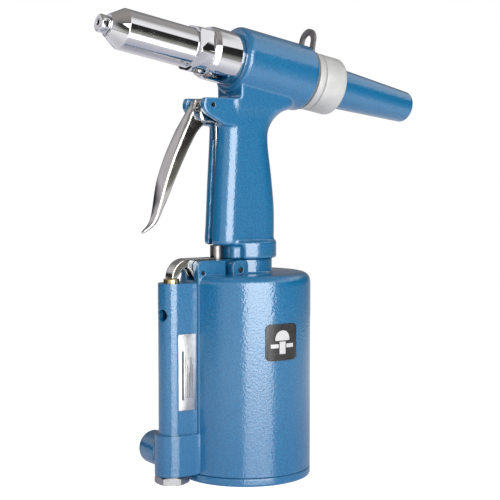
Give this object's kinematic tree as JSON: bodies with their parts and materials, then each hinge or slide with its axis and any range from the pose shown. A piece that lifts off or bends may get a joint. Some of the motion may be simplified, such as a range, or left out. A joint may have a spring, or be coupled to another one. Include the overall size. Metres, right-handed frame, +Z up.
{
  "type": "pneumatic rivet gun",
  "caption": "Air-over-hydraulic blind rivet gun: tilted chrome nose barrel, pistol grip with squeeze trigger, upright air cylinder with a side valve column.",
  "frame": {"origin": "centre of the base's underside, on the air cylinder's axis", "axes": "+Z up along the air cylinder; the nose points to -X and 10.9 degrees up; the tool's left side faces -Y"},
  "size_m": [0.2482, 0.0889, 0.307],
  "materials": {
    "blue_enamel": "gloss enamel with a fine hammered texture",
    "chrome": "bright chrome plate",
    "satin_aluminium": "satin, finely knurled",
    "polished_steel": "polished cast steel",
    "grey_steel": "matte grey plated steel",
    "dark_steel": "black oxide",
    "brass": "turned brass",
    "rubber": "moulded nitrile rubber",
    "black_badge": "gloss printed plate",
    "foil_label": "satin foil"
  },
  "bodies": {
    "tool_body": {"handle_casting": "blue_enamel", "cylinder_casting": "blue_enamel", "base_cap": "blue_enamel", "base_cap_seal": "rubber", "frame_head": "chrome", "nosepiece": "chrome", "front_gland": "brass", "return_spring": "polished_steel", "hanger_plate": "grey_steel", "lock_ring": "satin_aluminium", "end_cap": "satin_aluminium", "mandrel_tube": "polished_steel", "trigger_pin": "dark_steel", "lever_pin": "dark_steel", "neck_pin": "dark_steel", "valve_plug": "polished_steel", "valve_spring": "polished_steel", "ram_gland": "brass", "bumper_ring": "rubber", "badge": "black_badge", "rating_plate": "foil_label"},
    "trigger": {"trigger": "polished_steel"},
    "trigger_linkage": {"trigger_rod": "polished_steel", "rod_nut": "polished_steel", "rod_foot": "polished_steel"},
    "lever": {"valve_lever": "chrome"},
    "valve": {"valve_button": "brass", "valve_spool": "polished_steel", "spool_ring_upper": "rubber", "spool_ring_lower": "rubber"},
    "air_ram": {"air_piston": "satin_aluminium", "air_piston_seal": "rubber", "ram": "polished_steel", "ram_nut": "grey_steel"},
    "puller": {"pull_piston": "polished_steel", "pull_piston_seal": "rubber", "jaw_case": "dark_steel", "jaw_spring": "polished_steel"},
    "jaw_set": {"jaw_1": "dark_steel", "jaw_2": "dark_steel", "jaw_3": "dark_steel", "jaw_pusher": "polished_steel"},
    "collector": {"mandrel_collector": "blue_enamel"}
  },
  "joints": [
    {"name": "trigger_pivot", "type": "hinge", "parent": "tool_body", "child": "trigger", "pos_m": [-0.0335, 0, 0.2475], "axis": [0, -1, 0], "range_deg": [0, 12.5], "stiffness_Nm_per_rad": 0.8, "springref_deg": -8.59},
    {"name": "rod_lift", "type": "slide", "parent": "tool_body", "child": "trigger_linkage", "axis": [0, 0, 1], "range_m": [0, 0.0024]},
    {"name": "lever_pivot", "type": "hinge", "parent": "tool_body", "child": "lever", "pos_m": [-0.0396, 0, 0.1383], "axis": [0, -1, 0], "range_deg": [0, 8]},
    {"name": "valve_press", "type": "slide", "parent": "tool_body", "child": "valve", "axis": [0, 0, -1], "range_m": [0, 0.0026], "deforming": ["valve_spring"]},
    {"name": "air_piston_lift", "type": "slide", "parent": "tool_body", "child": "air_ram", "axis": [0, 0, 1], "range_m": [0, 0.046], "stiffness_N_per_m": 120, "springref_m": -0.03},
    {"name": "pull_stroke", "type": "slide", "parent": "tool_body", "child": "puller", "axis": [0.9819, 0, -0.1896], "range_m": [0, 0.014], "deforming": ["return_spring"]},
    {"name": "jaw_slide", "type": "slide", "parent": "puller", "child": "jaw_set", "axis": [0.9819, 0, -0.1896], "range_m": [0, 0.003], "stiffness_N_per_m": 400, "springref_m": -0.006, "deforming": ["jaw_spring"]},
    {"name": "collector_unscrew", "type": "slide", "parent": "tool_body", "child": "collector", "axis": [0.9819, 0, -0.1896], "range_m": [0, 0.05]}
  ],
  "couplings": [
    {"joint": "rod_lift", "follows": "trigger_pivot", "m_per_rad": 0.0108},
    {"joint": "lever_pivot", "follows": "trigger_pivot", "ratio": 0.639},
    {"joint": "valve_press", "follows": "trigger_pivot", "m_per_rad": 0.01144},
    {"joint": "pull_stroke", "follows": "air_piston_lift", "ratio": 0.3043}
  ]
}
